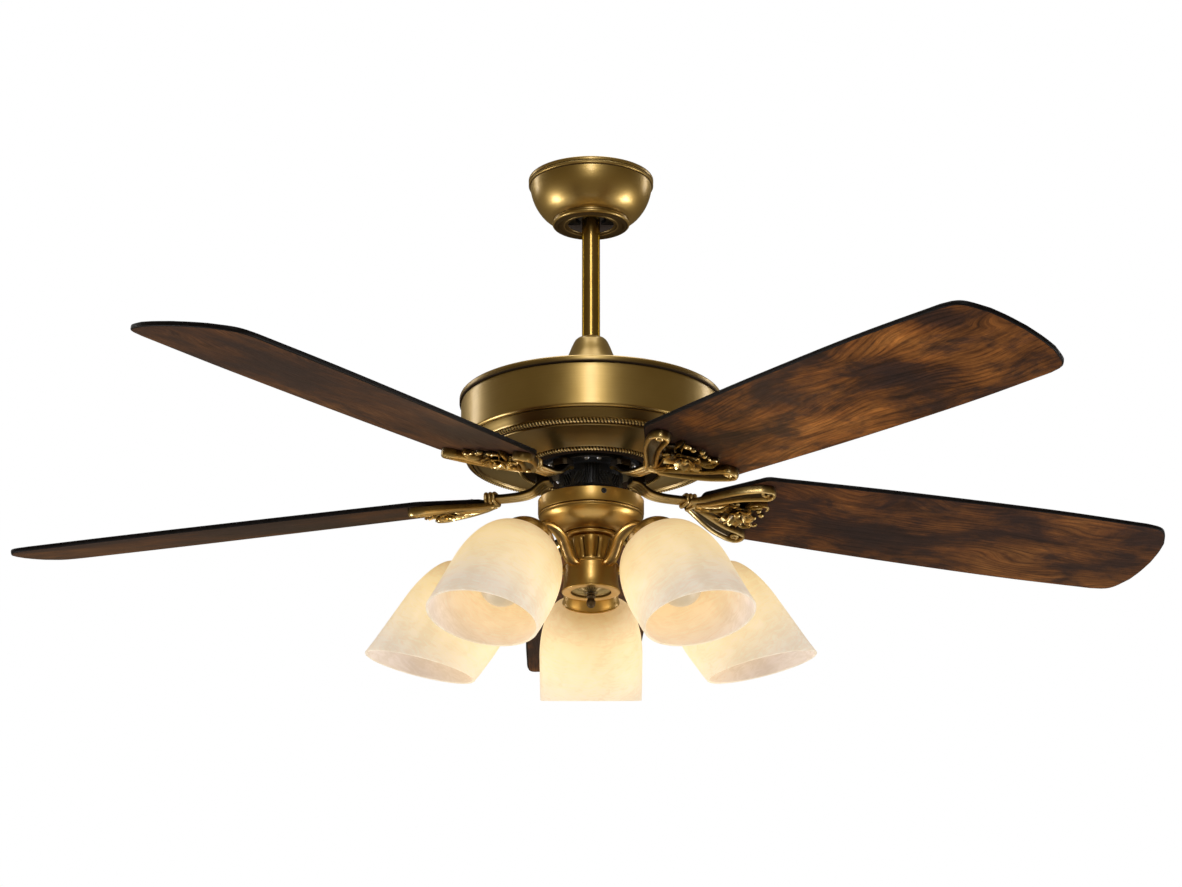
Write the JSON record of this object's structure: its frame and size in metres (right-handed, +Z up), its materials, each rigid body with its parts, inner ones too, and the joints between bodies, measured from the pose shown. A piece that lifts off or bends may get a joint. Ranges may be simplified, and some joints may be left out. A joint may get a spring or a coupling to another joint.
{
  "type": "ceiling fan with light",
  "caption": "Downrod ceiling fan: pitched wooden blades on cast irons around a drum motor housing, with a cluster of slanted glass shades on arched arms below.",
  "frame": {"origin": "on the ceiling plane, at the centre of the hanger bracket's top face, on the fan's vertical axis", "axes": "+Z up into the ceiling along the fan's axis; -Y towards the side seen in the front view; +X to that viewer's right"},
  "size_m": [1.2788, 1.2224, 0.5529],
  "materials": {
    "antique_brass": "brushed antique brass, lacquered",
    "cast_brass": "cast, dark in the hollows and rubbed bright on the edges",
    "walnut": "satin printed veneer, black edges",
    "alabaster_glass": "frosted white glass with faint marbling",
    "bulb_glass": "frosted",
    "zinc_steel": "zinc plated",
    "black_casting": "black enamel",
    "black_nylon": "matte",
    "motor_core": "varnished laminations and copper windings",
    "ceramic": "glazed",
    "capacitor_case": "smooth"
  },
  "bodies": {
    "ceiling_mount": {"hanger_bracket": "zinc_steel", "canopy": "antique_brass", "hanger_screw_left": "zinc_steel", "hanger_screw_right": "zinc_steel"},
    "hanging": {"hanger_ball": "black_nylon", "ball_pin": "zinc_steel", "downrod": "antique_brass", "coupling": "zinc_steel", "coupling_pin": "zinc_steel", "motor_shaft": "zinc_steel", "stator": "motor_core", "upper_bearing": "zinc_steel", "lower_bearing": "zinc_steel", "housing_top": "antique_brass", "housing_drum": "antique_brass", "housing_base": "antique_brass", "switch_plate": "zinc_steel", "switch_housing": "antique_brass", "cup_screw_1": "zinc_steel", "cup_screw_2": "zinc_steel", "cup_screw_3": "zinc_steel", "capacitor": "capacitor_case", "kit_collar": "antique_brass", "fluted_stem": "antique_brass", "arm_hub": "antique_brass", "rosette": "antique_brass", "finial": "antique_brass", "lamp_arm_1": "antique_brass", "lamp_arm_2": "antique_brass", "lamp_arm_3": "antique_brass", "lamp_arm_4": "antique_brass", "lamp_arm_5": "antique_brass", "lamp_socket_1": "ceramic", "lamp_socket_2": "ceramic", "lamp_socket_3": "ceramic", "lamp_socket_4": "ceramic", "lamp_socket_5": "ceramic", "bulb_1": "bulb_glass", "bulb_2": "bulb_glass", "bulb_3": "bulb_glass", "bulb_4": "bulb_glass", "bulb_5": "bulb_glass", "shade_1": "alabaster_glass", "shade_2": "alabaster_glass", "shade_3": "alabaster_glass", "shade_4": "alabaster_glass", "shade_5": "alabaster_glass"},
    "rotor": {"rotor_case": "zinc_steel", "flywheel": "black_casting", "blade_iron_1": "cast_brass", "blade_iron_2": "cast_brass", "blade_iron_3": "cast_brass", "blade_iron_4": "cast_brass", "blade_iron_5": "cast_brass", "blade_1": "walnut", "blade_2": "walnut", "blade_3": "walnut", "blade_4": "walnut", "blade_5": "walnut"},
    "coupling_cover": {"coupling_cover": "antique_brass"}
  },
  "joints": [
    {"name": "hanger_tilt", "type": "hinge", "parent": "ceiling_mount", "child": "hanging", "pos_m": [0, 0, -0.0275], "axis": [1, 0, 0], "range_deg": [-10, 10]},
    {"name": "rotor_spin", "type": "hinge", "parent": "hanging", "child": "rotor", "pos_m": [0, 0, -0.3545], "axis": [0, 0, 1], "continuous": true},
    {"name": "cover_slide", "type": "slide", "parent": "hanging", "child": "coupling_cover", "axis": [0, 0, 1], "range_m": [0, 0.06]}
  ]
}
